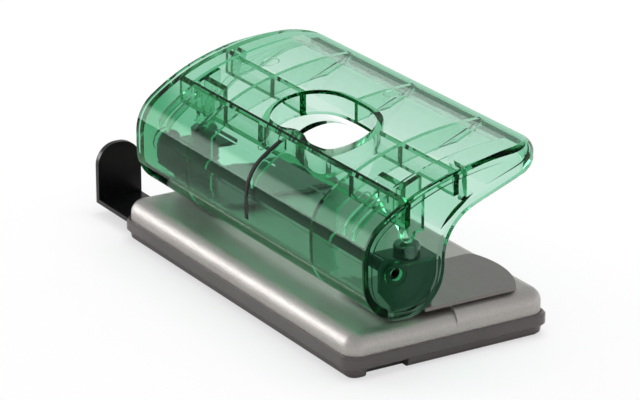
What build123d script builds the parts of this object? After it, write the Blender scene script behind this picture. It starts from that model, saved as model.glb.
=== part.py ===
"""Mini two-hole punch: steel base, moulded lever, two sprung punch pins.

Millimetres. X runs along the punch, with the right end at +X.
Paper goes in from the front, at -Y, and the lever reaches back, to +Y.
Z = 0 is the desk, and X = Y = 0 is midway between the two punch pins.
"""

import math
import os

from build123d import *

os.makedirs("parts", exist_ok=True)

# Punching geometry
PIN_SPACING = 80.0
PIN_RADIUS = 2.75
PIN_RISE = 2.8
TIP_COVER = 0.3
TIP_GRIND_RADIUS = 5.0
TIP_GRIND_DEPTH = 0.5
PIN_CHAMFER = 0.3
DIE_CLEARANCE = 0.06
GUIDE_CLEARANCE = 0.06

# Chip tray and base frame, both moulded
BASE_PAST_PIN = 7.3
BASE_FRONT = -17.6
BASE_BACK = 31.2
BASE_CORNER = 3.4
TRAY_HEIGHT = 1.9
TRAY_INSET = 0.75
TRAY_DRAFT = 12.0
TRAY_WALL = 1.1
TRAY_FLOOR = 1.1
TRAY_EDGE = 0.5
TRAY_LIP_WALL = 0.9
TRAY_LIP_HEIGHT = 0.7
TRAY_FIT = 0.3
SPLIT_GAP = 0.15
FRAME_WALL = 2.0
FRAME_RIM = 0.5
FRAME_EDGE = 0.4
FINGER_WIDTH = 9.9
FINGER_DEPTH = 3.2
FINGER_MIDDLE_Y = -8.0
FINGER_HOOD = 1.0
TRAY_LIP_FRONT = 5.0

# Steel base plate
SHEET = 1.0
PLATE_FIT = 0.15
SKIRT_BOTTOM = 4.2
THROAT_FLOOR = 9.3
STOP_RISE = 0.8
STOP_Y = 8.5
PLATE_ROLL = 3.2
PLATE_SET_IN = 0.8

# Paper guide
GUIDE_WIDTH = 10.8
GUIDE_THICKNESS = 1.0
GUIDE_REACH = 14.5
GUIDE_ENGAGED = 75.0
GUIDE_TAB_TOP = 16.2
GUIDE_TAB_CORNER = 5.0
GUIDE_TAB_THICKNESS = 1.6
GUIDE_FLOOR = 0.8
GUIDE_RISE = 0.4
GUIDE_EDGE = 0.4
GUIDE_RAIL = 0.9
GUIDE_PLAY = 0.2
GUIDE_STRAP = 0.5
GUIDE_STRAP_WIDTH = 6.0
GUIDE_STRAP_X = (-30.0, 8.0)

# Punch brackets, bent from one strip each
BRACKET_SHEET = 0.8
PAPER_GAP = 1.3
BRACKET_HEIGHT = 10.8
BRACKET_PAST_PIN = 4.3
BRACKET_BEND = 1.1
BRACKET_FLANGE_REACH = 5.0
BRACKET_FRONT = -4.6
BRACKET_BACK = 5.5
BRACKET_FOOT_FRONT = -5.8
BRACKET_FOOT_BACK = 3.4
BRACKET_WAIST = 4.3
BRACKET_FOOT_RISE = 1.2
TONGUE_REACH = 15.0
TONGUE_PAST_PIN = 5.4
TONGUE_WIDE_FROM = 1.5
TONGUE_BACK = 26.0
TONGUE_BACK_BOW = 1.3
TONGUE_CORNER = 2.6
TONGUE_ROUND = 1.8
EAR_RADIUS = 2.6
PAD_RADIUS = 2.0
PAD_Y = (14.0, 22.0)
PAD_FROM_PIN = 7.0

# Axle
AXLE_Y = -6.4
AXLE_Z = 20.8
AXLE_RADIUS = 1.3
AXLE_PAST_PIN = 6.0
AXLE_END_BORE = 0.65
AXLE_END_DEPTH = 0.8
AXLE_FIT = 0.05

# Return springs and what holds them
SPRING_WIRE = 0.5
WIRE_FACETS = 6
SPRING_TURNS = 4
MEASURE_STEPS = 48
SPRING_FIT = 0.08
COLLAR_RADIUS = 3.3
COLLAR_HEIGHT = 2.2
COLLAR_FIT = 0.05
CLIP_RADIUS = 3.2
CLIP_THICKNESS = 0.5
CLIP_GROOVE = 0.5
CLIP_FIT = 0.03
CLIP_MOUTH = 3.6
CLIP_END_PLAY = 0.05

# Lever
LEVER_PAST_PIN = 6.9
LEVER_WALL = 1.8
END_RECESS = 0.6
END_GAP = 0.3
DRUM_Y = -4.3
DRUM_Z = 20.1
DRUM_RADIUS = 9.5
DRUM_TOP_Z = 24.1
SHOULDER_Y = -9.9
SHOULDER_DROP = 9.7
CROWN_Y = 5.0
CROWN_DROP = 2.5
UNDERSIDE_RADIUS = 11.3
UNDERSIDE_Z = 21.2
TIP_UNDERCUT = 0.7
TIP_NOSE = 1.0
TIP_ROLL = 2.3
LEVER_TIP_Y = 29.9
LEVER_TOP_Z = 41.5
LEVER_CORNER = 8.3
CORNER_ROLL = 2.6
CORNER_ROLL_LIFT = 0.1
LEVER_EDGE = 0.35
SKIN = 0.7
PANEL_TILT = 1.4
PANEL_FROM_PIN = 0.5
PANEL_FRONT_Y = -3.4
LIP_Y = -7.4
NOTCH_LENGTH = 9.5
NOTCH_TOP = 12.8
NOTCH_STEP = 0.8
NOTCH_SLANT = 9.4
RIB = 1.2
RIB_DEPTH = 3.4
RIB_SHIFT_Y = 0.55
CROSS_RIB_FROM_PIN = 15.3
FRONT_RIB_Y = -3.4
REAR_RIB_Y = 8.0
CUTOUT_WALL = 1.5
CUTOUT_POINTS = (
    (-13.2, 5.5),
    (-11.5, -0.6),
    (-5.6, -2.2),
    (1.2, -1.1),
    (8.4, -2.3),
    (14.8, -0.6),
    (16.6, 5.5),
    (11.6, 11.3),
    (1.7, 12.8),
    (-8.2, 11.3),
)
CRADLE_FIT = 0.15
CRADLE_TOP = 27.6
CRADLE_BOTTOM = 13.6
PUSHER = 1.6
PUSHER_FRONT = -1.4
PUSHER_BACK = 3.6
PUSHER_NOSE = 1.5
PUSHER_GAP = 0.1
PUSHER_HEEL = 0.6
GUSSET = 1.2
GUSSET_FROM_PIN = 9.0
GUSSET_Z = 31.1
GUSSET_FOOT_Z = 25.1
SHORT_RIB = 0.9
SHORT_RIB_DEPTH = 0.9
SHORT_RIB_FRONT_Y = -11.0
SHORT_RIB_FROM_PIN = (4.0, 0.6)
FRONT_WEB_DEPTH = 1.6
FRONT_WEB_Y = -11.0
END_FIN_Y = 9.9
END_FIN_LENGTH = 5.2
END_FIN_FOOT = 1.2
END_FIN_DROP = 8.9
OPENING_FRONT = (3.0, 25.8)
OPENING_REAR = (13.0, 34.0)
BOSS_RADIUS = 2.5
LEVER_ANGLE = 22.0

# Places that follow from the sizes above
PIN_X = PIN_SPACING / 2
BASE_HALF_LENGTH = PIN_X + BASE_PAST_PIN
BRACKET_WALL_X = PIN_X + BRACKET_PAST_PIN
BRACKET_INNER_X = PIN_X - BRACKET_FLANGE_REACH
TONGUE_INNER_X = PIN_X - TONGUE_REACH
TONGUE_OUTER_X = PIN_X + TONGUE_PAST_PIN
AXLE_HALF_LENGTH = PIN_X + AXLE_PAST_PIN
LEVER_HALF_LENGTH = PIN_X + LEVER_PAST_PIN
LEVER_TIP_Z = LEVER_TOP_Z - TIP_ROLL
PANEL_HALF_LENGTH = PIN_X - PANEL_FROM_PIN
CROSS_RIB_X = PIN_X - CROSS_RIB_FROM_PIN
DECK_TOP = THROAT_FLOOR + STOP_RISE
TONGUE_BOTTOM = THROAT_FLOOR + PAPER_GAP
TONGUE_TOP = TONGUE_BOTTOM + BRACKET_SHEET
FLANGE_TOP = TONGUE_BOTTOM + BRACKET_HEIGHT
FLANGE_BOTTOM = FLANGE_TOP - BRACKET_SHEET
PIN_TOP = FLANGE_TOP + PIN_RISE
PIN_TIP = TONGUE_BOTTOM + TIP_COVER
CLIP_TOP = FLANGE_BOTTOM - CLIP_END_PLAY
COLLAR_TOP = CLIP_TOP - CLIP_THICKNESS
SPRING_TOP = COLLAR_TOP - COLLAR_HEIGHT
PLATE_HALF_LENGTH = BASE_HALF_LENGTH - PLATE_SET_IN
LEVER_ARM = -AXLE_Y
LEVER_TURN = math.radians(LEVER_ANGLE)
NOSE_RISE = PIN_TOP + PUSHER_NOSE - AXLE_Z
PIN_TRAVEL = LEVER_ARM * math.sin(LEVER_TURN) + NOSE_RISE * (1 - math.cos(LEVER_TURN))
END_WALL_INNER = BRACKET_WALL_X + END_GAP
END_WALL_OUTER = LEVER_HALF_LENGTH - END_RECESS
print("pin travel, mm:", round(PIN_TRAVEL, 3), "ratio, mm per rad:", round(PIN_TRAVEL / LEVER_TURN, 4))


def footprint(half_length, front, back, corner):
    """Draw a rectangle in plan with four rounded corners in the open sketch."""
    middle = (front + back) / 2
    with Locations((0, middle)):
        RectangleRounded(2 * half_length, back - front, corner)


def drawn_block(half_length, middle_y, depth, top, inset):
    """Return the form of the plate's drawing die: a block with one round on all its edges."""
    bottom = SKIRT_BOTTOM - inset
    with BuildPart() as block:
        with Locations((0, middle_y, (bottom + top - inset) / 2)):
            Box(2 * (half_length - inset), depth - 2 * inset, top - inset - bottom)
        upright = block.edges().filter_by(Axis.Z)
        fillet(upright + block.faces().sort_by(Axis.Z)[-1].edges(), PLATE_ROLL - inset)
    return block.part


def box_between(x0, x1, y0, y1, z0, z1):
    """Return a box given by its two limits on each axis."""
    size = (x1 - x0, y1 - y0, z1 - z0)
    middle = ((x0 + x1) / 2, (y0 + y1) / 2, (z0 + z1) / 2)
    return Pos(*middle) * Box(*size, mode=Mode.PRIVATE)


def write(part, name):
    """Label a finished piece and write it to its own file."""
    part.label = name
    export_step(part, f"parts/{name}.step")


# Base frame: a ring with a ledge for the plate, and the channel of the guide
frame_bottom = TRAY_HEIGHT + SPLIT_GAP
frame_inner_x = BASE_HALF_LENGTH - FRAME_WALL
frame_inner_front = BASE_FRONT + FRAME_WALL
frame_inner_back = BASE_BACK - FRAME_WALL
plate_front = BASE_FRONT + PLATE_SET_IN
plate_back = BASE_BACK - PLATE_SET_IN
guide_front = frame_inner_front + GUIDE_PLAY
guide_back = guide_front + GUIDE_WIDTH
guide_bottom = frame_bottom + GUIDE_RISE
guide_top = guide_bottom + GUIDE_THICKNESS
rail_front = guide_back + GUIDE_PLAY
rail_back = rail_front + GUIDE_RAIL
channel_bottom = guide_bottom - GUIDE_FLOOR
strap_bottom = guide_top + GUIDE_PLAY
strap_top = strap_bottom + GUIDE_STRAP
finger_inner_x = BASE_HALF_LENGTH - FINGER_DEPTH
channel_right = finger_inner_x - FINGER_HOOD - 2 * GUIDE_PLAY
inner_corner = BASE_CORNER - FRAME_WALL

with BuildPart() as base_frame:
    with BuildSketch(Plane.XY.offset(frame_bottom)):
        footprint(BASE_HALF_LENGTH, BASE_FRONT, BASE_BACK, BASE_CORNER)
    extrude(amount=SKIRT_BOTTOM + FRAME_RIM - frame_bottom)
    rims = base_frame.faces().sort_by(Axis.Z)
    chamfer(rims[0].edges() + rims[-1].edges(), FRAME_EDGE)
    with BuildSketch(Plane.XY.offset(frame_bottom)):
        footprint(frame_inner_x, frame_inner_front, frame_inner_back, inner_corner)
    extrude(amount=BASE_BACK, mode=Mode.SUBTRACT)
    with BuildSketch(Plane.XY.offset(SKIRT_BOTTOM)):
        footprint(
            PLATE_HALF_LENGTH + PLATE_FIT,
            plate_front - PLATE_FIT,
            plate_back + PLATE_FIT,
            PLATE_ROLL + PLATE_FIT,
        )
    extrude(amount=BASE_BACK, mode=Mode.SUBTRACT)
    with BuildSketch(Plane.XY.offset(channel_bottom)):
        footprint(frame_inner_x, frame_inner_front, frame_inner_back, inner_corner)
        with Locations(((channel_right - BASE_HALF_LENGTH) / 2, (BASE_FRONT + rail_back) / 2)):
            Rectangle(channel_right + BASE_HALF_LENGTH, rail_back - BASE_FRONT, mode=Mode.INTERSECT)
    extrude(amount=GUIDE_FLOOR)
    add(box_between(-frame_inner_x, channel_right, rail_front, rail_back, channel_bottom, strap_top))
    for strap_x in GUIDE_STRAP_X:
        add(
            box_between(
                strap_x,
                strap_x + GUIDE_STRAP_WIDTH,
                frame_inner_front,
                rail_back,
                strap_bottom,
                strap_top,
            )
        )
    add(
        box_between(
            -BASE_HALF_LENGTH - FRAME_WALL,
            inner_corner - frame_inner_x,
            guide_front - GUIDE_PLAY,
            rail_front,
            guide_bottom,
            strap_bottom,
        ),
        mode=Mode.SUBTRACT,
    )
write(base_frame.part, "base_frame")

# Chip tray: a shallow pan with a locating lip and a finger notch at the right end
tray_x = BASE_HALF_LENGTH - TRAY_INSET
tray_front = BASE_FRONT + TRAY_INSET
tray_back = BASE_BACK - TRAY_INSET
lip_x = frame_inner_x - TRAY_FIT
lip_back = frame_inner_back - TRAY_FIT
lip_corner = BASE_CORNER - FRAME_WALL - TRAY_FIT
finger_front = FINGER_MIDDLE_Y - FINGER_WIDTH / 2
finger_back = FINGER_MIDDLE_Y + FINGER_WIDTH / 2
hood_inner_x = finger_inner_x - FINGER_HOOD
hood_top = TRAY_HEIGHT + FINGER_HOOD
tray_draft = TRAY_HEIGHT * math.tan(math.radians(TRAY_DRAFT))

with BuildPart() as chip_tray:
    with BuildSketch():
        footprint(
            tray_x - tray_draft,
            tray_front + tray_draft,
            tray_back - tray_draft,
            BASE_CORNER - TRAY_INSET - tray_draft,
        )
    extrude(amount=TRAY_HEIGHT, taper=-TRAY_DRAFT)
    chamfer(chip_tray.faces().sort_by(Axis.Z)[0].edges(), TRAY_EDGE)
    with BuildSketch(Plane.XY.offset(TRAY_FLOOR)):
        footprint(
            tray_x - TRAY_WALL,
            tray_front + TRAY_WALL,
            tray_back - TRAY_WALL,
            BASE_CORNER - TRAY_INSET - TRAY_WALL,
        )
    extrude(amount=TRAY_HEIGHT, mode=Mode.SUBTRACT)
    with BuildSketch(Plane.XY.offset(TRAY_FLOOR)):
        footprint(lip_x, TRAY_LIP_FRONT - BASE_BACK, lip_back, lip_corner)
        offset(amount=-TRAY_LIP_WALL, mode=Mode.SUBTRACT)
        with Locations((0, TRAY_LIP_FRONT - BASE_BACK)):
            Rectangle(2 * BASE_HALF_LENGTH, 2 * BASE_BACK, mode=Mode.SUBTRACT)
    extrude(amount=TRAY_HEIGHT + TRAY_LIP_HEIGHT - TRAY_FLOOR)
    add(
        box_between(
            hood_inner_x,
            lip_x,
            finger_front - FINGER_HOOD,
            finger_back + FINGER_HOOD,
            TRAY_EDGE,
            hood_top,
        )
    )
    add(
        box_between(
            finger_inner_x,
            BASE_HALF_LENGTH,
            finger_front,
            finger_back,
            -TRAY_HEIGHT,
            TRAY_HEIGHT,
        ),
        mode=Mode.SUBTRACT,
    )
write(chip_tray.part, "chip_tray")

# Paper guide: a flat bar that slides out at the left, with an upright tab
guide_left = -BASE_HALF_LENGTH - GUIDE_REACH
guide_right = -BASE_HALF_LENGTH + GUIDE_ENGAGED

with BuildPart() as paper_guide:
    add(box_between(guide_left, guide_right, guide_front, guide_back, guide_bottom, guide_top))
    with BuildSketch(Plane.YZ.offset(guide_left - GUIDE_TAB_THICKNESS)):
        with Locations(((guide_front + guide_back) / 2, (guide_bottom + GUIDE_TAB_TOP) / 2)):
            tab = Rectangle(GUIDE_WIDTH, GUIDE_TAB_TOP - guide_bottom)
        fillet(tab.vertices().group_by(Axis.Y)[-1], GUIDE_TAB_CORNER)
    extrude(amount=GUIDE_TAB_THICKNESS)
    fillet(paper_guide.faces().sort_by(Axis.X)[0].edges(), GUIDE_EDGE)
write(paper_guide.part, "paper_guide")

# Base plate: a rolled sheet, raised behind the paper stop
plate_middle_y = (plate_front + plate_back) / 2
plate_depth = plate_back - plate_front
throat_block = drawn_block(PLATE_HALF_LENGTH, plate_middle_y, plate_depth, THROAT_FLOOR, 0)
throat_inside = drawn_block(PLATE_HALF_LENGTH, plate_middle_y, plate_depth, THROAT_FLOOR, SHEET)
deck_block = drawn_block(PLATE_HALF_LENGTH, plate_middle_y, plate_depth, DECK_TOP, 0)
deck_inside = drawn_block(PLATE_HALF_LENGTH, plate_middle_y, plate_depth, DECK_TOP, SHEET)
behind_stop = box_between(-BASE_HALF_LENGTH, BASE_HALF_LENGTH, STOP_Y, BASE_BACK, 0, FLANGE_TOP)
behind_stop_inside = box_between(
    -BASE_HALF_LENGTH, BASE_HALF_LENGTH, STOP_Y + SHEET, BASE_BACK, 0, FLANGE_TOP
)

with BuildPart() as base_plate:
    add(throat_block)
    add(deck_block & behind_stop)
    add(throat_inside, mode=Mode.SUBTRACT)
    add(deck_inside & behind_stop_inside, mode=Mode.SUBTRACT)
    with Locations((-PIN_X, 0, THROAT_FLOOR), (PIN_X, 0, THROAT_FLOOR)):
        Hole(PIN_RADIUS + DIE_CLEARANCE)
write(base_plate.part, "base_plate")

# Right bracket: flange over the pin, side wall with the axle ear, tongue over the paper
bracket_wall_inner = BRACKET_WALL_X - BRACKET_SHEET
sheet_middle = BRACKET_SHEET / 2
bend_middle = BRACKET_BEND - sheet_middle

with BuildPart() as side_outline:
    with BuildSketch(Plane.YZ.offset(TONGUE_INNER_X)):
        with BuildLine():
            Polyline(
                (BRACKET_FOOT_FRONT, TONGUE_BOTTOM),
                (BRACKET_FOOT_FRONT, TONGUE_TOP + BRACKET_FOOT_RISE),
                (AXLE_Y - EAR_RADIUS, AXLE_Z - BRACKET_WAIST),
                (AXLE_Y - EAR_RADIUS, AXLE_Z),
                (AXLE_Y, AXLE_Z + EAR_RADIUS),
                (BRACKET_FRONT, FLANGE_TOP),
                (BRACKET_BACK, FLANGE_TOP),
                (BRACKET_FOOT_BACK, TONGUE_BOTTOM),
                close=True,
            )
        make_face()
    extrude(amount=BRACKET_WALL_X - TONGUE_INNER_X)

with BuildPart() as right_bracket:
    with BuildSketch(Plane.XZ):
        with BuildLine():
            FilletPolyline(
                (BRACKET_INNER_X, FLANGE_TOP - sheet_middle),
                (BRACKET_WALL_X - sheet_middle, FLANGE_TOP - sheet_middle),
                (BRACKET_WALL_X - sheet_middle, TONGUE_BOTTOM + sheet_middle),
                (BRACKET_INNER_X, TONGUE_BOTTOM + sheet_middle),
                radius=bend_middle,
            )
        trace(line_width=BRACKET_SHEET)
    extrude(amount=BASE_BACK, both=True)
    add(side_outline.part, mode=Mode.INTERSECT)
    add(
        box_between(0, bracket_wall_inner, -BASE_BACK, BRACKET_FRONT, FLANGE_BOTTOM, FLANGE_TOP),
        mode=Mode.SUBTRACT,
    )
    with BuildSketch(Plane.YZ.offset(bracket_wall_inner)):
        with Locations((AXLE_Y, AXLE_Z)):
            Circle(EAR_RADIUS)
        Polygon(
            (AXLE_Y - EAR_RADIUS, AXLE_Z - BRACKET_WAIST),
            (AXLE_Y - EAR_RADIUS, AXLE_Z),
            (AXLE_Y, AXLE_Z + EAR_RADIUS),
            (BRACKET_FRONT, FLANGE_TOP - BRACKET_BEND),
            (BRACKET_FOOT_FRONT, TONGUE_TOP + BRACKET_FOOT_RISE),
            align=None,
        )
    extrude(amount=BRACKET_SHEET)
    with BuildSketch(Plane.XY.offset(TONGUE_BOTTOM)):
        with BuildLine():
            Line((TONGUE_INNER_X, TONGUE_BACK), (TONGUE_INNER_X, BRACKET_FOOT_FRONT))
            Line((TONGUE_INNER_X, BRACKET_FOOT_FRONT), (bracket_wall_inner, BRACKET_FOOT_FRONT))
            Line((bracket_wall_inner, BRACKET_FOOT_FRONT), (bracket_wall_inner, TONGUE_WIDE_FROM))
            Line((bracket_wall_inner, TONGUE_WIDE_FROM), (TONGUE_OUTER_X, TONGUE_WIDE_FROM))
            Line((TONGUE_OUTER_X, TONGUE_WIDE_FROM), (TONGUE_OUTER_X, TONGUE_BACK - TONGUE_CORNER))
            ThreePointArc(
                (TONGUE_OUTER_X, TONGUE_BACK - TONGUE_CORNER),
                ((TONGUE_INNER_X + TONGUE_OUTER_X) / 2, TONGUE_BACK + TONGUE_BACK_BOW),
                (TONGUE_INNER_X, TONGUE_BACK),
            )
        tongue = make_face()
        rear_corners = tongue.vertices().group_by(Axis.Y)
        fillet(rear_corners[-1] + rear_corners[-2], TONGUE_ROUND)
    extrude(amount=BRACKET_SHEET)
    with BuildSketch(Plane.XY.offset(DECK_TOP)):
        with Locations(*[(PIN_X - PAD_FROM_PIN, y) for y in PAD_Y]):
            Circle(PAD_RADIUS)
    extrude(amount=TONGUE_BOTTOM - DECK_TOP)
    with Locations((PIN_X, 0, FLANGE_TOP)):
        Hole(PIN_RADIUS + GUIDE_CLEARANCE)
    with Locations(Plane.YZ.offset(BRACKET_WALL_X) * Location((AXLE_Y, AXLE_Z, 0))):
        Hole(AXLE_RADIUS + AXLE_FIT, depth=2 * BRACKET_SHEET)

# Axle: one rod through both brackets and both ends of the lever
with BuildPart() as axle:
    with BuildSketch(Plane.YZ):
        with Locations((AXLE_Y, AXLE_Z)):
            Circle(AXLE_RADIUS)
    extrude(amount=AXLE_HALF_LENGTH, both=True)
    for end_x, inward in ((-AXLE_HALF_LENGTH, 1), (AXLE_HALF_LENGTH, -1)):
        with BuildSketch(Plane.YZ.offset(end_x)):
            with Locations((AXLE_Y, AXLE_Z)):
                Circle(AXLE_END_BORE)
        extrude(amount=inward * AXLE_END_DEPTH, mode=Mode.SUBTRACT)
write(axle.part, "axle")

# Right punch pin: hollow-ground at the tip, grooved for its clip
with BuildPart() as right_punch_pin:
    with BuildSketch(Plane.XY.offset(PIN_TIP)):
        with Locations((PIN_X, 0)):
            Circle(PIN_RADIUS)
    extrude(amount=PIN_TOP - PIN_TIP)
    chamfer(right_punch_pin.edges().group_by(Axis.Z)[-1], PIN_CHAMFER)
    with BuildSketch(Plane.XY.offset(COLLAR_TOP)):
        with Locations((PIN_X, 0)):
            Circle(CLIP_RADIUS)
            Circle(PIN_RADIUS - CLIP_GROOVE, mode=Mode.SUBTRACT)
    extrude(amount=CLIP_THICKNESS, mode=Mode.SUBTRACT)
    with BuildSketch(Plane.XZ):
        with Locations((PIN_X, PIN_TIP - TIP_GRIND_RADIUS + TIP_GRIND_DEPTH)):
            Circle(TIP_GRIND_RADIUS)
    extrude(amount=2 * PIN_RADIUS, both=True, mode=Mode.SUBTRACT)

# Right pin clip: an open ring in the groove of the pin
with BuildPart() as right_pin_clip:
    with BuildSketch(Plane.XY.offset(COLLAR_TOP)):
        with Locations((PIN_X, 0)):
            Circle(CLIP_RADIUS)
            Circle(PIN_RADIUS - CLIP_GROOVE + CLIP_FIT, mode=Mode.SUBTRACT)
        with Locations((PIN_X, -CLIP_RADIUS)):
            Rectangle(CLIP_MOUTH, 2 * CLIP_RADIUS, mode=Mode.SUBTRACT)
    extrude(amount=CLIP_THICKNESS)

# Right spring collar: a plain ring on the pin, held down by the clip
with BuildPart() as right_spring_collar:
    with BuildSketch(Plane.XY.offset(SPRING_TOP)):
        with Locations((PIN_X, 0)):
            Circle(COLLAR_RADIUS)
            Circle(PIN_RADIUS + COLLAR_FIT, mode=Mode.SUBTRACT)
    extrude(amount=COLLAR_HEIGHT)


def helix_point(radius, pitch, turn, centre_x, bottom):
    """Return a point and the unit direction of a helix after some turns."""
    angle = 2 * math.pi * turn
    point = Vector(
        centre_x + radius * math.cos(angle),
        radius * math.sin(angle),
        bottom + pitch * turn,
    )
    direction = Vector(
        -2 * math.pi * radius * math.sin(angle),
        2 * math.pi * radius * math.cos(angle),
        pitch,
    )
    return point, direction.normalized()


def biarc_joint(start, start_way, end, end_way):
    """Return where two equal-handled arcs join, and their way there."""
    chord = end - start
    ways = start_way + end_way
    twist = 2 * (1 - start_way.dot(end_way))
    along = chord.dot(ways)
    handle = (math.sqrt(along**2 + twist * chord.dot(chord)) - along) / twist
    near = start + start_way * handle
    far = end - end_way * handle
    return (near + far) * 0.5, (far - near).normalized()


# Right return spring: one tube, swept along arcs a quarter turn at a time
spring_radius = PIN_RADIUS + SPRING_FIT + SPRING_WIRE / 2
spring_bottom = TONGUE_TOP + SPRING_WIRE / 2
spring_pitch = (SPRING_TOP - SPRING_WIRE / 2 - spring_bottom) / SPRING_TURNS
quarters = 4 * SPRING_TURNS

with BuildPart() as right_return_spring:
    with BuildLine() as coil:
        for quarter in range(quarters):
            start, start_way = helix_point(
                spring_radius, spring_pitch, quarter / 4, PIN_X, spring_bottom
            )
            end, end_way = helix_point(
                spring_radius, spring_pitch, (quarter + 1) / 4, PIN_X, spring_bottom
            )
            joint, joint_way = biarc_joint(start, start_way, end, end_way)
            TangentArc(start, joint, tangent=start_way)
            TangentArc(joint, end, tangent=joint_way)
    with BuildSketch(Plane(origin=coil.line @ 0, z_dir=coil.line % 0)):
        RegularPolygon(SPRING_WIRE / 2, WIRE_FACETS)
    sweep()

# The least gap between neighbouring turns, measured on points along the coil
coil_steps = MEASURE_STEPS * SPRING_TURNS
coil_points = [coil.line @ (step / coil_steps) for step in range(coil_steps + 1)]
turn_gap = min(
    (far_point - near_point).length
    for place, near_point in enumerate(coil_points)
    for far_point in coil_points[place + MEASURE_STEPS // 2 :]
)
print("least gap of a spring to itself, mm:", round(turn_gap - SPRING_WIRE, 3))

# Left pieces are the right ones mirrored
for piece, name in (
    (right_bracket, "bracket"),
    (right_punch_pin, "punch_pin"),
    (right_pin_clip, "pin_clip"),
    (right_spring_collar, "spring_collar"),
    (right_return_spring, "return_spring"),
):
    write(piece.part, "right_" + name)
    write(mirror(piece.part, about=Plane.YZ), "left_" + name)

# Lever: the outline seen from its end
drum_back_y = DRUM_Y + DRUM_RADIUS
underside_y = drum_back_y + UNDERSIDE_RADIUS
tip_under = (LEVER_TIP_Y - TIP_UNDERCUT, LEVER_TIP_Z - TIP_NOSE)
tip_reach = (tip_under[0] - underside_y, tip_under[1] - UNDERSIDE_Z)
slope = math.atan2(tip_reach[1], tip_reach[0]) - math.asin(UNDERSIDE_RADIUS / math.hypot(*tip_reach))
haunch = (
    underside_y - UNDERSIDE_RADIUS * math.sin(slope),
    UNDERSIDE_Z + UNDERSIDE_RADIUS * math.cos(slope),
)
haunch_middle = (
    underside_y - UNDERSIDE_RADIUS * math.cos(math.pi / 4 - slope / 2),
    UNDERSIDE_Z + UNDERSIDE_RADIUS * math.sin(math.pi / 4 - slope / 2),
)

with BuildSketch() as lever_outline:
    with BuildLine():
        front = TangentArc(
            (DRUM_Y - DRUM_RADIUS, DRUM_TOP_Z),
            (SHOULDER_Y, LEVER_TOP_Z - SHOULDER_DROP),
            tangent=(0, 1),
        )
        rise = TangentArc(front @ 1, (CROWN_Y, LEVER_TOP_Z - CROWN_DROP), tangent=front % 1)
        crown = TangentArc(rise @ 1, (LEVER_TIP_Y - TIP_ROLL, LEVER_TOP_Z), tangent=rise % 1)
        TangentArc((LEVER_TIP_Y, LEVER_TIP_Z), crown @ 1, tangent=(0, 1))
        Line(haunch, tip_under)
        TangentArc(
            tip_under, (LEVER_TIP_Y, LEVER_TIP_Z), tangent=(math.cos(slope), math.sin(slope))
        )
        ThreePointArc((drum_back_y, UNDERSIDE_Z), haunch_middle, haunch)
        Line((drum_back_y, DRUM_Z), (drum_back_y, UNDERSIDE_Z))
        ThreePointArc(
            (DRUM_Y - DRUM_RADIUS, DRUM_Z), (DRUM_Y, DRUM_Z - DRUM_RADIUS), (drum_back_y, DRUM_Z)
        )
        Line((DRUM_Y - DRUM_RADIUS, DRUM_Z), (DRUM_Y - DRUM_RADIUS, DRUM_TOP_Z))
    make_face()


def lever_prism(inset, half_length):
    """Return the lever's outline, drawn in by an inset, run along X."""
    with BuildPart() as prism:
        with BuildSketch(Plane.YZ):
            add(lever_outline.sketch)
            if inset:
                offset(amount=-inset, kind=Kind.INTERSECTION)
        extrude(amount=half_length, both=True)
    return prism.part


def cutout_block(grow):
    """Return a tall block with the plan of the lever's window, grown by a wall."""
    count = len(CUTOUT_POINTS)
    points = [Vector(x, y) for x, y in CUTOUT_POINTS]
    with BuildPart() as block:
        with BuildSketch():
            with BuildLine():
                for index in range(count):
                    start = points[index]
                    end = points[(index + 1) % count]
                    start_way = (end - points[index - 1]).normalized()
                    end_way = (points[(index + 2) % count] - start).normalized()
                    joint, joint_way = biarc_joint(start, start_way, end, end_way)
                    TangentArc(start, joint, tangent=start_way)
                    TangentArc(joint, end, tangent=joint_way)
            make_face()
            if grow:
                offset(amount=grow)
        extrude(amount=2 * LEVER_TOP_Z)
    return block.part


outer = lever_prism(0, LEVER_HALF_LENGTH)
skin = lever_prism(SKIN, END_WALL_OUTER)
inner = lever_prism(LEVER_WALL, LEVER_HALF_LENGTH)
with BuildPart() as outer_plan:
    with BuildSketch():
        footprint(LEVER_HALF_LENGTH, -BASE_BACK, LEVER_TIP_Y, LEVER_CORNER)
    extrude(amount=LEVER_TOP_Z + CORNER_ROLL_LIFT)
    fillet(outer_plan.faces().sort_by(Axis.Z)[-1].edges(), CORNER_ROLL)
with BuildPart() as inner_plan:
    with BuildSketch():
        with Locations((0, LEVER_TIP_Y - LEVER_WALL - BASE_BACK)):
            Rectangle(2 * END_WALL_INNER, 2 * BASE_BACK)
    extrude(amount=2 * LEVER_TOP_Z)
    rear_edges = inner_plan.edges().filter_by(Axis.Z).group_by(Axis.Y)[-1]
    fillet(rear_edges, LEVER_CORNER - LEVER_WALL)
window = cutout_block(0)
window_wall = cutout_block(CUTOUT_WALL)
axle_line = Pos(0, AXLE_Y, AXLE_Z) * Rot(0, 90, 0)


def under_shell(depth, limits):
    """Return the part of a box that hangs below the lever's top to a given depth."""
    drop = LEVER_WALL + depth
    hollow = Pos(0, RIB_SHIFT_Y * drop, -drop) * outer
    return (skin - hollow) & box_between(*limits, DRUM_Z - DRUM_RADIUS, LEVER_TOP_Z)


# Lever: what opens it underneath, and the notch in its front lip
with BuildPart() as open_underside:
    with BuildSketch(Plane.YZ):
        Polygon(
            (LIP_Y, 0),
            (LIP_Y, DRUM_Z - DRUM_RADIUS / 2),
            OPENING_FRONT,
            OPENING_REAR,
            (LEVER_TIP_Y - LEVER_WALL, LEVER_TIP_Z),
            (LEVER_TIP_Y - LEVER_WALL, 0),
            align=None,
        )
    extrude(amount=END_WALL_INNER, both=True)

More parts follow.
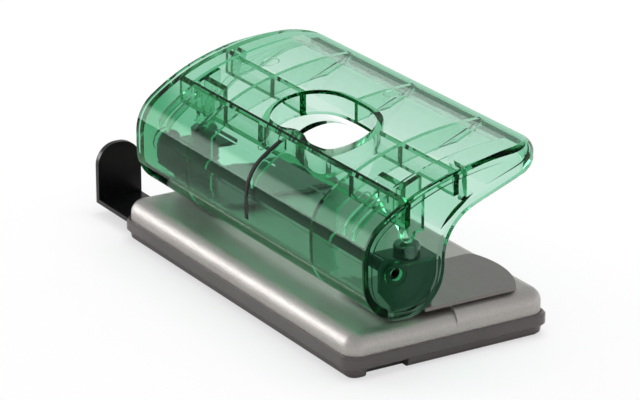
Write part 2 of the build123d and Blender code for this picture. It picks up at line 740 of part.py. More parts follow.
notch_step_x = NOTCH_LENGTH - LEVER_HALF_LENGTH
with BuildPart() as lip_notch:
    with BuildSketch(Plane.XZ.offset(-DRUM_Y)):
        Polygon(
            (-END_WALL_INNER, 0),
            (-END_WALL_INNER, NOTCH_TOP),
            (notch_step_x, NOTCH_TOP),
            (notch_step_x, NOTCH_TOP - NOTCH_STEP),
            (notch_step_x + NOTCH_SLANT, DRUM_Z - DRUM_RADIUS),
            (notch_step_x + NOTCH_SLANT, 0),
            align=None,
        )
    extrude(amount=2 * DRUM_RADIUS)

# Lever: the ribs under its top
ribs = [
    under_shell(RIB_DEPTH, (-END_WALL_OUTER, END_WALL_OUTER, FRONT_RIB_Y, FRONT_RIB_Y + RIB)),
    under_shell(RIB_DEPTH, (-END_WALL_OUTER, END_WALL_OUTER, REAR_RIB_Y, REAR_RIB_Y + RIB)),
    under_shell(RIB_DEPTH, (-CROSS_RIB_X - RIB, -CROSS_RIB_X, DRUM_Y - DRUM_RADIUS, LEVER_TIP_Y)),
    under_shell(RIB_DEPTH, (CROSS_RIB_X, CROSS_RIB_X + RIB, DRUM_Y - DRUM_RADIUS, LEVER_TIP_Y)),
    under_shell(RIB_DEPTH, (-RIB / 2, RIB / 2, REAR_RIB_Y, LEVER_TIP_Y)),
    under_shell(FRONT_WEB_DEPTH, (-RIB / 2, RIB / 2, FRONT_WEB_Y, FRONT_RIB_Y)),
]
for middle in [side * (PIN_X - reach) for side in (-1, 1) for reach in SHORT_RIB_FROM_PIN]:
    sides = (middle - SHORT_RIB / 2, middle + SHORT_RIB / 2)
    ribs.append(under_shell(SHORT_RIB_DEPTH, (*sides, SHORT_RIB_FRONT_Y, FRONT_RIB_Y)))

# Lever: the web with a round nose that presses on each pin, and its gusset
nose_z = PIN_TOP + PUSHER_GAP + PUSHER_NOSE
gusset_root_x = PIN_X - PUSHER / 2
gusset_tip_x = PIN_X - GUSSET_FROM_PIN
with BuildPart() as pusher:
    with BuildSketch(Plane.YZ.offset(gusset_root_x)):
        Polygon(
            (0, nose_z),
            (PUSHER_FRONT, nose_z),
            (PUSHER_FRONT, LEVER_TOP_Z),
            (PUSHER_BACK, LEVER_TOP_Z),
            (PUSHER_BACK, nose_z + PUSHER_HEEL),
            align=None,
        )
        with Locations((0, nose_z)):
            Circle(PUSHER_NOSE)
    extrude(amount=PUSHER)
    with BuildSketch(Plane.XZ):
        Polygon(
            (gusset_root_x, GUSSET_FOOT_Z),
            (gusset_tip_x, GUSSET_Z),
            (gusset_tip_x, LEVER_TOP_Z),
            (gusset_root_x, LEVER_TOP_Z),
            align=None,
        )
    extrude(amount=GUSSET / 2, both=True)

# Lever: the cradle on each cross rib, which rests on the axle
with BuildPart() as cradle:
    add(
        box_between(
            CROSS_RIB_X,
            CROSS_RIB_X + RIB,
            DRUM_Y - DRUM_RADIUS,
            AXLE_Y,
            CRADLE_BOTTOM,
            CRADLE_TOP,
        )
    )
    with Locations(axle_line):
        Cylinder(AXLE_RADIUS + CRADLE_FIT, 2 * END_WALL_OUTER, mode=Mode.SUBTRACT)

with BuildPart() as end_fin:
    with BuildSketch(Plane.XZ.offset(-END_FIN_Y)):
        Polygon(
            (END_WALL_INNER, LEVER_TOP_Z),
            (END_WALL_INNER - END_FIN_LENGTH, LEVER_TOP_Z),
            (END_WALL_INNER - END_FIN_FOOT, LEVER_TOP_Z - END_FIN_DROP),
            (END_WALL_INNER, LEVER_TOP_Z - END_FIN_DROP),
            align=None,
        )
    extrude(amount=-RIB)
pocket_front = DRUM_Y - DRUM_RADIUS
with BuildPart() as pocket_block:
    with BuildSketch():
        Polygon(
            (END_WALL_OUTER, pocket_front),
            (END_WALL_OUTER, CROWN_Y),
            (LEVER_HALF_LENGTH, LEVER_TIP_Y - LEVER_CORNER),
            (LEVER_HALF_LENGTH + END_RECESS, pocket_front),
            align=None,
        )
    extrude(amount=LEVER_TOP_Z)
end_pocket = inner & pocket_block.part

# Lever: the top panel, which sinks below the end bands towards the front
panel_pivot = Pos(0, LEVER_TIP_Y - TIP_ROLL, LEVER_TOP_Z)
tilted = panel_pivot * Rot(PANEL_TILT, 0, 0) * panel_pivot.inverse() * outer
panel_step = (outer - tilted) & box_between(
    -PANEL_HALF_LENGTH,
    PANEL_HALF_LENGTH,
    PANEL_FRONT_Y,
    LEVER_TIP_Y - TIP_ROLL,
    LEVER_TOP_Z - SHOULDER_DROP,
    LEVER_TOP_Z,
)

inside_pieces = [piece & skin for piece in (pusher.part, cradle.part, end_fin.part)]
inside_pieces += [mirror(piece, about=Plane.YZ) for piece in inside_pieces]
end_pockets = (end_pocket, mirror(end_pocket, about=Plane.YZ))

# Lever: one moulding
with BuildPart() as lever:
    add(outer)
    ends = lever.faces().group_by(Axis.X)
    chamfer(ends[0].edges() + ends[-1].edges(), LEVER_EDGE)
    add(outer_plan.part, mode=Mode.INTERSECT)
    add(panel_step, mode=Mode.SUBTRACT)
    add(inner & inner_plan.part, mode=Mode.SUBTRACT)
    add(open_underside.part & inner_plan.part, mode=Mode.SUBTRACT)
    for rib in ribs:
        add(rib)
    for piece in inside_pieces:
        add(piece)
    add(under_shell(RIB_DEPTH, (-BASE_BACK, BASE_BACK, FRONT_RIB_Y, LEVER_TIP_Y)) & window_wall)
    add(window, mode=Mode.SUBTRACT)
    add(lip_notch.part, mode=Mode.SUBTRACT)
    for pocket in end_pockets:
        add(pocket, mode=Mode.SUBTRACT)
    for side in (-1, 1):
        with Locations(Pos(side * (END_WALL_OUTER + END_RECESS / 2), 0, 0) * axle_line):
            Cylinder(BOSS_RADIUS, END_RECESS)
    for side in (-1, 1):
        with Locations(Pos(side * LEVER_HALF_LENGTH, 0, 0) * axle_line):
            Cylinder(AXLE_RADIUS + AXLE_FIT, 3 * (LEVER_HALF_LENGTH - END_WALL_INNER), mode=Mode.SUBTRACT)
write(lever.part, "lever")
print("lever volume:", round(lever.part.volume, 1), "solids:", len(lever.part.solids()))
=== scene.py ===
"""Looks of the mini hole punch: see-through lever, satin steel base, smoke plastic tray.

Metres, in the frame of the CAD model: X along the punch, +Y to the back of the lever, Z up from the desk.
"""

import math

import bmesh
import bpy
from mathutils import Matrix, Vector
from mathutils.bvhtree import BVHTree


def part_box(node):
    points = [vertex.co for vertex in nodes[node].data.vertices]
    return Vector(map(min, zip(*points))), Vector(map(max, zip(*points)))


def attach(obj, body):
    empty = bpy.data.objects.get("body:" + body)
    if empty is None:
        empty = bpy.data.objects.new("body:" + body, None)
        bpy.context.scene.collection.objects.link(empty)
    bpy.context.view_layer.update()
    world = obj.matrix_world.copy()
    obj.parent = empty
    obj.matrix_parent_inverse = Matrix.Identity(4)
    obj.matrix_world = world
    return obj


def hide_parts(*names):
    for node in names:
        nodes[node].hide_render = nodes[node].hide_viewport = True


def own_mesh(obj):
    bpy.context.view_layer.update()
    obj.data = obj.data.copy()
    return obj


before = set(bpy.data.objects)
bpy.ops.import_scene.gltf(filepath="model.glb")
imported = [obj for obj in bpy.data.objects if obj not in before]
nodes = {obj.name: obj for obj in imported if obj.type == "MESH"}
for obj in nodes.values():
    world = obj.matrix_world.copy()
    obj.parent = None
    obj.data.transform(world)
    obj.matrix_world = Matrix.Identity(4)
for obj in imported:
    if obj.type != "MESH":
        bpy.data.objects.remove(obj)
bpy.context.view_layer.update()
MM = 0.001

# Each bracket: its tongue lies over the paper, and above it the strip stands up inside the lever, where it is
# soon painted dark grey-green as painted shade
TONGUE_LIFT = 1.3 * MM
TONGUE_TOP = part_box("base_plate")[1][2] + TONGUE_LIFT
SHADE_FROM_Z = TONGUE_TOP + 0.1 * MM
SHADE_FULL_Z = TONGUE_TOP + 1.2 * MM

# Widths of the patterns in the finishes. Real grain and streaks are under 0.1 mm, too fine for the
# render, so the narrow ones are drawn wider, as wide as they need to be to show.
LEVER_RIPPLE = 11.1 * MM
STEEL_CLOUD = 16.7 * MM
STEEL_GRAIN = 0.385 * MM
STREAK_LENGTH = 3.33 * MM
ZINC_STREAK = 0.4 * MM
BRIGHT_STREAK = 0.25 * MM
PLASTIC_MOTTLE = 22.2 * MM
SMOKE_GRAIN = 1.11 * MM
BLACK_GRAIN = 0.667 * MM

# The lever's tint is painted deeper from the sunk panel to the drum between these places: painted shade
DRUM_SHADE_BACK_Y = -2.0 * MM
DRUM_SHADE_FRONT_Y = -9.0 * MM

# Centre mark: its place and width on the drum, the middle of the drum, and how the ink lies on the skin
MARK_X = 1.0 * MM
MARK_WIDTH = 1.4 * MM
MARK_BACK_Y = -5.4 * MM
MARK_LOW_Z = 19.0 * MM
DRUM_Y = -6.4 * MM
DRUM_Z = 20.8 * MM
INK_LIFT = 0.05 * MM
INK_THICKNESS = 0.08 * MM
MERGE_DISTANCE = 0.0005 * MM

# A face looks outwards when the cosine between its normal and the way from the drum's middle is over this
OUTWARD = 0.6

# Ejector marks on the lever: X, Y and radius in millimetres, and the bead that is spun into each ring
EJECTOR_MARKS = ((-2.0, -7.9, 1.2), (36.0, -7.0, 1.3), (4.0, 20.0, 1.9), (-31.0, 11.0, 1.9))
EJECTOR_BEAD = 0.15 * MM
BEAD_SIDES = 8
RING_STEPS = 36
ABOVE_LEVER = 60 * MM

# The floor lies a hair under the tray, so that the two faces don't share a plane
FLOOR_DROP = 0.05 * MM
FLOOR_HALF_SIZE = 3.0

# How much the floor glows: to the eye, through the clear lever, and in reflections behind the punch
FLOOR_TO_EYE = 0.62
FLOOR_THROUGH_LEVER = 0.85
FLOOR_IN_REFLECTION = 0.8
REFLECTION_FROM_Y = 30 * MM
REFLECTION_FULL_Y = 70 * MM

# Studio light: sky seen through the lever, the way to the lamp's glow, and a softbox in metres and watts
SKY_THROUGH_LEVER = 0.9
LAMP_WAY = (-0.80, -0.57, 0.17)
SOFTBOX_PLACE = Vector((-0.1, 0.3, 0.9))
SOFTBOX_AIM = Vector((0, 0, 0.02))
SOFTBOX_WIDTH = 0.7
SOFTBOX_HEIGHT = 0.5
SOFTBOX_POWER = 4.0
LIGHT_BOUNCES = 20

# Camera of the photograph, its angles in degrees
CAMERA_AZIMUTH = 58.56
CAMERA_ELEVATION = 20.60
CAMERA_DISTANCE = 705.6 * MM
CAMERA_SIDE = 3.955 * MM
CAMERA_LIFT = 18.34 * MM
CAMERA_RAISE = 0.6 * MM
FOCAL_PIXELS = 3342.5
IMAGE_WIDTH = 640
SENSOR_WIDTH = 36.0


def srgb(text):
    """Turn a hex colour such as #808080 into linear red, green, blue and 1."""
    channels = []
    for place in (1, 3, 5):
        value = int(text[place : place + 2], 16) / 255
        channels.append(value / 12.92 if value <= 0.04045 else ((value + 0.055) / 1.055) ** 2.4)
    return (*channels, 1.0)


def add_node(tree, kind, settings=None, links=None):
    """Add a shader node, set its inputs and properties, and link its inputs."""
    made = tree.nodes.new("ShaderNode" + kind)
    for name, value in (settings or {}).items():
        if isinstance(name, int) or name in made.inputs:
            made.inputs[name].default_value = value
        else:
            setattr(made, name, value)
    for name, socket in (links or {}).items():
        tree.links.new(socket, made.inputs[name])
    return made


def new_material(name):
    """Start an empty node material and return it with its tree and its output node."""
    material = bpy.data.materials.new(name)
    material.use_nodes = True
    tree = material.node_tree
    tree.nodes.clear()
    return material, tree, tree.nodes.new("ShaderNodeOutputMaterial")


def add_object(name, shape, material):
    """Turn a bmesh into an object of one material in the scene, with its place in its mesh."""
    mesh = bpy.data.meshes.new(name)
    shape.to_mesh(mesh)
    shape.free()
    mesh.materials.append(material)
    made = bpy.data.objects.new(name, mesh)
    bpy.context.scene.collection.objects.link(made)
    return made


def make_clear_green_plastic():
    """Clear green polystyrene, polished by its mould.

    Thin walls look pale, edges and stacked ribs look deep green, and a faint ripple bends what shows
    through. The skin is painted a deeper green from the sunk panel to the drum, a painted shade for the
    drum's darker look. Shadow rays pass with a pale tint, so that the steel under the lever stays lit.
    """
    material, tree, output = new_material("clear_green_polystyrene")
    place = add_node(tree, "TexCoord")
    ripple = add_node(
        tree, "TexNoise", {"Scale": 1 / LEVER_RIPPLE, "Detail": 1.0}, {"Vector": place.outputs["Object"]}
    )
    bump = add_node(
        tree, "Bump", {"Strength": 0.04, "Distance": 1.0 * MM}, {"Height": ripple.outputs["Fac"]}
    )
    across = add_node(tree, "SeparateXYZ", None, {0: place.outputs["Object"]})
    drum_shade_mask = add_node(
        tree,
        "MapRange",
        {"interpolation_type": "SMOOTHSTEP", "From Min": DRUM_SHADE_BACK_Y, "From Max": DRUM_SHADE_FRONT_Y},
        {"Value": across.outputs["Y"]},
    )
    # Painted shade: the base colour turns a deeper green towards the drum
    tint_with_drum_shade = add_node(
        tree,
        "Mix",
        {"data_type": "RGBA", 6: srgb("#F8FDFB"), 7: srgb("#B0E0CA")},
        {0: drum_shade_mask.outputs[0]},
    )
    clear = add_node(
        tree,
        "BsdfPrincipled",
        {
            "Roughness": 0.03,
            "IOR": 1.36,
            "Transmission Weight": 1.0,
            "Specular Tint": srgb("#5DB98A"),
        },
        {"Base Color": tint_with_drum_shade.outputs[2], "Normal": bump.outputs["Normal"]},
    )
    light_path = add_node(tree, "LightPath")
    let_light_in = add_node(tree, "BsdfTransparent", {"Color": srgb("#D6EFE1")})
    mixed = add_node(
        tree,
        "MixShader",
        None,
        {0: light_path.outputs["Is Shadow Ray"], 1: clear.outputs[0], 2: let_light_in.outputs[0]},
    )
    tint = add_node(tree, "VolumeAbsorption", {"Color": srgb("#67D7AD"), "Density": 290.0})
    tree.links.new(mixed.outputs[0], output.inputs["Surface"])
    tree.links.new(tint.outputs[0], output.inputs["Volume"])
    return material


def make_satin_steel():
    """Cold-rolled steel sheet under a satin lacquer.

    Warm light grey, faintly cloudy, with a fine even grain of darker specks that breaks up its shine.
    """
    material, tree, output = new_material("satin_lacquered_steel")
    place = add_node(tree, "TexCoord")
    grain = add_node(
        tree,
        "TexNoise",
        {"Scale": 1 / STEEL_GRAIN, "Detail": 4.0, "Roughness": 0.7},
        {"Vector": place.outputs["Object"]},
    )
    clouds = add_node(
        tree, "TexNoise", {"Scale": 1 / STEEL_CLOUD, "Detail": 3.0}, {"Vector": place.outputs["Object"]}
    )
    cloudy = add_node(
        tree,
        "Mix",
        {"data_type": "RGBA", 6: srgb("#BBB6B3"), 7: srgb("#D6D2CE")},
        {0: clouds.outputs["Fac"]},
    )
    specks = add_node(
        tree,
        "MapRange",
        {"From Min": 0.42, "From Max": 0.62, "To Min": 0.0, "To Max": 0.16},
        {"Value": grain.outputs["Fac"]},
    )
    shade = add_node(
        tree,
        "Mix",
        {"data_type": "RGBA", 7: srgb("#807B78")},
        {0: specks.outputs["Result"], 6: cloudy.outputs[2]},
    )
    rough = add_node(
        tree,
        "MapRange",
        {"To Min": 0.34, "To Max": 0.50},
        {"Value": grain.outputs["Fac"]},
    )
    bump = add_node(
        tree, "Bump", {"Strength": 0.35, "Distance": 0.3 * MM}, {"Height": grain.outputs["Fac"]}
    )
    metal = add_node(
        tree,
        "BsdfPrincipled",
        {"Metallic": 0.9, "Coat Weight": 0.15, "Coat Roughness": 0.2},
        {
            "Base Color": shade.outputs[2],
            "Roughness": rough.outputs["Result"],
            "Normal": bump.outputs["Normal"],
        },
    )
    tree.links.new(metal.outputs[0], output.inputs["Surface"])
    return material


def make_zinc_strip():
    """Zinc-plated steel strip with rolled streaks along X.

    Satin grey on the tongue; inside the lever the strip is painted dark grey-green, a painted shade.
    """
    material, tree, output = new_material("zinc_plated_strip")
    place = add_node(tree, "TexCoord")
    stretch = add_node(
        tree,
        "Mapping",
        {"Scale": (1 / STREAK_LENGTH, 1 / ZINC_STREAK, 1 / ZINC_STREAK)},
        {"Vector": place.outputs["Object"]},
    )
    streaks = add_node(
        tree, "TexNoise", {"Scale": 1.0, "Detail": 3.0}, {"Vector": stretch.outputs["Vector"]}
    )
    height = add_node(tree, "SeparateXYZ", None, {0: place.outputs["Object"]})
    painted_shade_mask = add_node(
        tree,
        "MapRange",
        {"From Min": SHADE_FROM_Z, "From Max": SHADE_FULL_Z},
        {"Value": height.outputs["Z"]},
    )
    tongue_grey = add_node(
        tree,
        "Mix",
        {"data_type": "RGBA", 6: srgb("#7F7B79"), 7: srgb("#908C8A")},
        {0: streaks.outputs["Fac"]},
    )
    # Painted shade: inside the lever the strip is painted dark grey-green, for the shade and the green light
    # there
    painted_lever_shade = add_node(
        tree,
        "Mix",
        {"data_type": "RGBA", 6: srgb("#2C3732"), 7: srgb("#46534C")},
        {0: streaks.outputs["Fac"]},
    )
    shade = add_node(
        tree,
        "Mix",
        {"data_type": "RGBA"},
        {0: painted_shade_mask.outputs[0], 6: tongue_grey.outputs[2], 7: painted_lever_shade.outputs[2]},
    )
    bump = add_node(
        tree, "Bump", {"Strength": 0.06, "Distance": 0.1 * MM}, {"Height": streaks.outputs["Fac"]}
    )
    metal = add_node(
        tree,
        "BsdfPrincipled",
        {"Metallic": 0.9, "Roughness": 0.36},
        {"Base Color": shade.outputs[2], "Normal": bump.outputs["Normal"]},
    )
    tree.links.new(metal.outputs[0], output.inputs["Surface"])
    return material


def make_bare_steel(name, dark, light, roughness):
    """Bare steel, ground, drawn or blued: a sharp shine that fine streaks along X draw out."""
    material, tree, output = new_material(name)
    place = add_node(tree, "TexCoord")
    stretch = add_node(
        tree,
        "Mapping",
        {"Scale": (1 / STREAK_LENGTH, 1 / BRIGHT_STREAK, 1 / BRIGHT_STREAK)},
        {"Vector": place.outputs["Object"]},
    )
    streaks = add_node(
        tree, "TexNoise", {"Scale": 1.0, "Detail": 3.0}, {"Vector": stretch.outputs["Vector"]}
    )
    shade = add_node(
        tree,
        "Mix",
        {"data_type": "RGBA", 6: srgb(dark), 7: srgb(light)},
        {0: streaks.outputs["Fac"]},
    )
    bump = add_node(
        tree, "Bump", {"Strength": 0.08, "Distance": 0.1 * MM}, {"Height": streaks.outputs["Fac"]}
    )
    metal = add_node(
        tree,
        "BsdfPrincipled",
        {"Metallic": 1.0, "Roughness": roughness},
        {"Base Color": shade.outputs[2], "Normal": bump.outputs["Normal"]},
    )
    tree.links.new(metal.outputs[0], output.inputs["Surface"])
    return material


def make_plastic(name, dark, light, roughness, grain_width, bump_strength, coat):
    """Opaque plastic, moulded or printed: an even colour with a faint mottle and a fine grain."""
    material, tree, output = new_material(name)
    place = add_node(tree, "TexCoord")
    mottle = add_node(
        tree, "TexNoise", {"Scale": 1 / PLASTIC_MOTTLE, "Detail": 4.0}, {"Vector": place.outputs["Object"]}
    )
    grain = add_node(
        tree, "TexNoise", {"Scale": 1 / grain_width, "Detail": 2.0}, {"Vector": place.outputs["Object"]}
    )
    shade = add_node(
        tree,
        "Mix",
        {"data_type": "RGBA", 6: srgb(dark), 7: srgb(light)},
        {0: mottle.outputs["Fac"]},
    )
    bump = add_node(
        tree, "Bump", {"Strength": bump_strength, "Distance": 0.2 * MM}, {"Height": grain.outputs["Fac"]}
    )
    plastic = add_node(
        tree,
        "BsdfPrincipled",
        {"Roughness": roughness, "IOR": 1.5, "Coat Weight": coat, "Coat Roughness": 0.1},
        {"Base Color": shade.outputs[2], "Normal": bump.outputs["Normal"]},
    )
    tree.links.new(plastic.outputs[0], output.inputs["Surface"])
    return material


clear_green = make_clear_green_plastic()
satin_steel = make_satin_steel()
zinc_steel = make_zinc_strip()
# The ground pins shine most, the blued axle is nearly black, and spring wire is a lighter grey
bright_steel = make_bare_steel("ground_bright_steel", "#4A4A4A", "#868686", 0.16)
blued_steel = make_bare_steel("blued_axle_steel", "#161718", "#2A2B2D", 0.24)
spring_steel = make_bare_steel("drawn_spring_wire", "#505052", "#8A8A8C", 0.22)
# Smoke polystyrene lets so little light through that it is drawn opaque: warm dark grey under a gloss.
# Pad-print ink is flat black, and moulded ABS is black with a satin shine.
smoke_plastic = make_plastic("smoke_polystyrene", "#453F3F", "#605959", 0.22, SMOKE_GRAIN, 0.05, 0.5)
black_ink = make_plastic("black_pad_print_ink", "#010101", "#030304", 0.65, BLACK_GRAIN, 0.02, 0.0)
black_plastic = make_plastic("black_moulded_abs", "#020203", "#08080A", 0.30, BLACK_GRAIN, 0.10, 0.0)

finishes = {
    "lever": clear_green,
    "axle": blued_steel,
    "left_bracket": zinc_steel,
    "right_bracket": zinc_steel,
    "left_punch_pin": bright_steel,
    "right_punch_pin": bright_steel,
    "left_pin_clip": spring_steel,
    "right_pin_clip": spring_steel,
    "left_spring_collar": black_plastic,
    "right_spring_collar": black_plastic,
    "left_return_spring": spring_steel,
    "right_return_spring": spring_steel,
    "base_plate": satin_steel,
    "base_frame": smoke_plastic,
    "chip_tray": smoke_plastic,
    "paper_guide": black_plastic,
}
for node_name, finish in finishes.items():
    mesh = nodes[node_name].data
    mesh.materials.clear()
    mesh.materials.append(finish)

# Centre mark: a printed black line round the front of the drum, laid on a strip cut from the lever's own skin
mark = bmesh.new()
mark.from_mesh(nodes["lever"].data)
bmesh.ops.remove_doubles(mark, verts=mark.verts[:], dist=MERGE_DISTANCE)
for cut_place, cut_way in (
    ((MARK_X - MARK_WIDTH / 2, 0, 0), (-1, 0, 0)),
    ((MARK_X + MARK_WIDTH / 2, 0, 0), (1, 0, 0)),
    ((0, MARK_BACK_Y, 0), (0, 1, 0)),
    ((0, 0, MARK_LOW_Z), (0, 0, -1)),
):
    bmesh.ops.bisect_plane(
        mark,
        geom=mark.verts[:] + mark.edges[:] + mark.faces[:],
        plane_co=cut_place,
        plane_no=cut_way,
        clear_outer=True,
    )
# Only the faces that look away from the middle of the drum carry ink
drum_centre = Vector((MARK_X, DRUM_Y, DRUM_Z))
bare_faces = [
    face
    for face in mark.faces
    if face.normal.dot((face.calc_center_median() - drum_centre).normalized()) < OUTWARD
]
bmesh.ops.delete(mark, geom=bare_faces, context="FACES")
mark.normal_update()
for vert in mark.verts:
    vert.co += vert.normal * INK_LIFT
bmesh.ops.solidify(mark, geom=mark.faces[:], thickness=INK_THICKNESS)
bmesh.ops.recalc_face_normals(mark, faces=mark.faces[:])
centre_mark = add_object("centre_mark", mark, black_ink)
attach(centre_mark, "lever")

# Ejector marks: shallow rings that the mould's pins left on the lever, half sunk in its skin
lever_skin = bmesh.new()
lever_skin.from_mesh(nodes["lever"].data)
lever_tree = BVHTree.FromBMesh(lever_skin)
lever_skin.free()
for number, (ring_x, ring_y, ring_radius) in enumerate(EJECTOR_MARKS, start=1):
    above = Vector((ring_x * MM, ring_y * MM, ABOVE_LEVER))
    spot, facing, _, _ = lever_tree.ray_cast(above, Vector((0, 0, -1)))
    ring = bmesh.new()
    bmesh.ops.create_circle(
        ring,
        segments=BEAD_SIDES,
        radius=EJECTOR_BEAD,
        matrix=Matrix.Translation((ring_radius * MM, 0, 0)) @ Matrix.Rotation(math.pi / 2, 4, "X"),
    )
    bmesh.ops.spin(
        ring,
        geom=ring.verts[:] + ring.edges[:],
        cent=(0, 0, 0),
        axis=(0, 0, 1),
        angle=2 * math.pi,
        steps=RING_STEPS,
        use_merge=True,
    )
    bmesh.ops.recalc_face_normals(ring, faces=ring.faces[:])
    lie_flat = facing.to_track_quat("Z", "X").to_matrix().to_4x4()
    bmesh.ops.transform(ring, matrix=Matrix.Translation(spot) @ lie_flat, verts=ring.verts[:])
    ejector_mark = add_object(f"ejector_mark_{number}", ring, clear_green)
    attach(ejector_mark, "lever")

# Return springs: a coil copied from each spring's mesh stands on the base, and the spring itself is hidden
for side in ("left", "right"):
    spring_node = nodes[f"{side}_return_spring"]
    coil = bpy.data.objects.new(f"{side}_spring_coil", spring_node.data.copy())
    bpy.context.scene.collection.objects.link(coil)
    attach(coil, "base")
    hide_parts(f"{side}_return_spring")
    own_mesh(coil)

# Floor of white paper: it keeps the object's shadow. It glows to the eye and through the clear lever, so
# that it looks white there, and in reflections only behind the punch: in front, steel mirrors the paper,
# which glossy rays see painted greyer as painted shade.
floor_material, floor_tree, floor_output = new_material("white_paper")
floor_rays = add_node(floor_tree, "LightPath")
# Painted shade: glossy rays see the paper greyer, which darkens the paper that the steel mirrors
paper_grey_in_reflections = add_node(
    floor_tree,
    "Mix",
    {"data_type": "RGBA", 6: srgb("#F4F4F4"), 7: srgb("#D2CFCE")},
    {0: floor_rays.outputs["Is Glossy Ray"]},
)
paper = add_node(floor_tree, "BsdfDiffuse", None, {"Color": paper_grey_in_reflections.outputs[2]})
glow = add_node(floor_tree, "Emission", {"Color": srgb("#FFFFFF"), "Strength": 1.0})
to_eye = add_node(
    floor_tree,
    "Math",
    {"operation": "MULTIPLY", 1: FLOOR_TO_EYE},
    {0: floor_rays.outputs["Is Camera Ray"]},
)
through_lever = add_node(
    floor_tree,
    "Math",
    {"operation": "MULTIPLY", 1: FLOOR_THROUGH_LEVER},
    {0: floor_rays.outputs["Is Transmission Ray"]},
)
floor_place = add_node(floor_tree, "TexCoord")
floor_axes = add_node(floor_tree, "SeparateXYZ", None, {0: floor_place.outputs["Object"]})
behind = add_node(
    floor_tree,
    "MapRange",
    {
        "interpolation_type": "SMOOTHSTEP",
        "From Min": REFLECTION_FROM_Y,
        "From Max": REFLECTION_FULL_Y,
        "To Max": FLOOR_IN_REFLECTION,
    },
    {"Value": floor_axes.outputs["Y"]},
)
mirrored = add_node(
    floor_tree,
    "Math",
    {"operation": "MULTIPLY"},
    {0: behind.outputs[0], 1: floor_rays.outputs["Is Glossy Ray"]},
)
seen_glow = add_node(
    floor_tree, "Math", {"operation": "ADD"}, {0: to_eye.outputs[0], 1: through_lever.outputs[0]}
)
glow_part = add_node(
    floor_tree,
    "Math",
    {"operation": "ADD", "use_clamp": True},
    {0: seen_glow.outputs[0], 1: mirrored.outputs[0]},
)
floor_mix = add_node(
    floor_tree,
    "MixShader",
    None,
    {0: glow_part.outputs[0], 1: paper.outputs[0], 2: glow.outputs[0]},
)
floor_tree.links.new(floor_mix.outputs[0], floor_output.inputs["Surface"])

floor_shape = bmesh.new()
bmesh.ops.create_grid(
    floor_shape,
    x_segments=1,
    y_segments=1,
    size=FLOOR_HALF_SIZE,
    matrix=Matrix.Translation((0, 0, -FLOOR_DROP)),
)
floor = add_object("floor", floor_shape, floor_material)

# World: white to the eye and nearly white through the clear lever. Everything else sees a grey dome,
# lighter towards the top, with a soft glow low at the back and a lamp's glow low at the left and front.
# Reflections see the dome dimmed overhead, so that flat steel stays mid grey.
world = bpy.data.worlds.new("studio")
bpy.context.scene.world = world
world.use_nodes = True
sky = world.node_tree
sky.nodes.clear()
sky_rays = add_node(sky, "LightPath")
sky_way = add_node(sky, "TexCoord")
sky_axes = add_node(sky, "SeparateXYZ", None, {0: sky_way.outputs["Generated"]})
dome_shade = add_node(
    sky,
    "MapRange",
    {"From Min": 0.0, "From Max": 0.9, "To Min": 0.42, "To Max": 0.80},
    {"Value": sky_axes.outputs["Z"]},
)
overhead = add_node(
    sky,
    "MapRange",
    {"From Min": 0.38, "From Max": 0.80, "To Min": 0.0, "To Max": 0.36},
    {"Value": sky_axes.outputs["Z"]},
)
overhead_dim = add_node(
    sky, "Math", {"operation": "MULTIPLY"}, {0: overhead.outputs[0], 1: sky_rays.outputs["Is Glossy Ray"]}
)
dimmed_dome = add_node(
    sky, "Math", {"operation": "SUBTRACT"}, {0: dome_shade.outputs[0], 1: overhead_dim.outputs[0]}
)
low_sky = add_node(
    sky,
    "MapRange",
    {"From Min": 0.30, "From Max": 0.02, "To Min": 0.0, "To Max": 0.5},
    {"Value": sky_axes.outputs["Z"]},
)
back_sky = add_node(
    sky,
    "MapRange",
    {"From Min": 0.10, "From Max": 0.45, "To Min": 0.0, "To Max": 1.0},
    {"Value": sky_axes.outputs["Y"]},
)
back_glow = add_node(sky, "Math", {"operation": "MULTIPLY"}, {0: low_sky.outputs[0], 1: back_sky.outputs[0]})
towards_lamp = add_node(
    sky,
    "VectorMath",
    {"operation": "DOT_PRODUCT", 1: LAMP_WAY},
    {0: sky_way.outputs["Generated"]},
)
lamp_disc = add_node(
    sky,
    "MapRange",
    {"interpolation_type": "SMOOTHSTEP", "From Min": 0.945, "From Max": 0.99, "To Min": 0.0, "To Max": 5.0},
    {"Value": towards_lamp.outputs["Value"]},
)
not_through_lever = add_node(
    sky, "Math", {"operation": "SUBTRACT", 0: 1.0}, {1: sky_rays.outputs["Is Transmission Ray"]}
)
lamp_glow = add_node(
    sky, "Math", {"operation": "MULTIPLY"}, {0: lamp_disc.outputs[0], 1: not_through_lever.outputs[0]}
)
open_sky = add_node(sky, "Math", {"operation": "ADD"}, {0: dimmed_dome.outputs[0], 1: back_glow.outputs[0]})
sky_light = add_node(sky, "Math", {"operation": "ADD"}, {0: open_sky.outputs[0], 1: lamp_glow.outputs[0]})
dome = add_node(sky, "Background", {"Color": srgb("#FFFFFF")}, {"Strength": sky_light.outputs[0]})
backdrop = add_node(sky, "Background", {"Color": srgb("#FFFFFF"), "Strength": 1.0})
white_through = add_node(
    sky,
    "Math",
    {"operation": "MULTIPLY", 1: SKY_THROUGH_LEVER},
    {0: sky_rays.outputs["Is Transmission Ray"]},
)
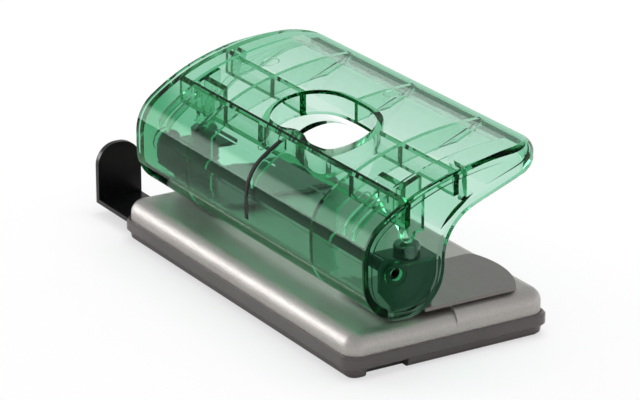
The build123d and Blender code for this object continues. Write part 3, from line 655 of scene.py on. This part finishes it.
white_part = add_node(
    sky, "Math", {"operation": "MAXIMUM"}, {0: sky_rays.outputs["Is Camera Ray"], 1: white_through.outputs[0]}
)
sky_mix = add_node(
    sky,
    "MixShader",
    None,
    {0: white_part.outputs[0], 1: dome.outputs[0], 2: backdrop.outputs[0]},
)
sky_output = sky.nodes.new("ShaderNodeOutputWorld")
sky.links.new(sky_mix.outputs[0], sky_output.inputs["Surface"])

# Softbox above and behind the punch, left out of reflections
softbox_lamp = bpy.data.lights.new("softbox_above", "AREA")
softbox_lamp.shape = "RECTANGLE"
softbox_lamp.size = SOFTBOX_WIDTH
softbox_lamp.size_y = SOFTBOX_HEIGHT
softbox_lamp.energy = SOFTBOX_POWER
softbox = bpy.data.objects.new("softbox_above", softbox_lamp)
softbox.location = SOFTBOX_PLACE
softbox.rotation_euler = (SOFTBOX_AIM - SOFTBOX_PLACE).to_track_quat("-Z", "Y").to_euler()
softbox.visible_glossy = False
bpy.context.scene.collection.objects.link(softbox)

# Camera
azimuth = math.radians(CAMERA_AZIMUTH)
elevation = math.radians(CAMERA_ELEVATION)
back = Vector(
    (
        math.cos(elevation) * math.sin(azimuth),
        -math.cos(elevation) * math.cos(azimuth),
        math.sin(elevation),
    )
)
right = Vector((math.cos(azimuth), math.sin(azimuth), 0.0))
up = back.cross(right)
turn = Matrix((right, up, back)).transposed().to_4x4()
aim = right * CAMERA_SIDE + up * CAMERA_LIFT + Vector((0, 0, CAMERA_RAISE))
camera_data = bpy.data.cameras.new("camera")
camera_data.sensor_width = SENSOR_WIDTH
camera_data.lens = FOCAL_PIXELS / IMAGE_WIDTH * SENSOR_WIDTH
camera = bpy.data.objects.new("camera", camera_data)
camera.matrix_world = Matrix.Translation(back * CAMERA_DISTANCE + aim) @ turn
bpy.context.scene.collection.objects.link(camera)
bpy.context.scene.camera = camera
bpy.context.scene.view_settings.view_transform = "Standard"

# Enough bounces for light that runs along inside the clear ribs
for bounces in ("max_bounces", "glossy_bounces", "transmission_bounces"):
    setattr(bpy.context.scene.cycles, bounces, LIGHT_BOUNCES)
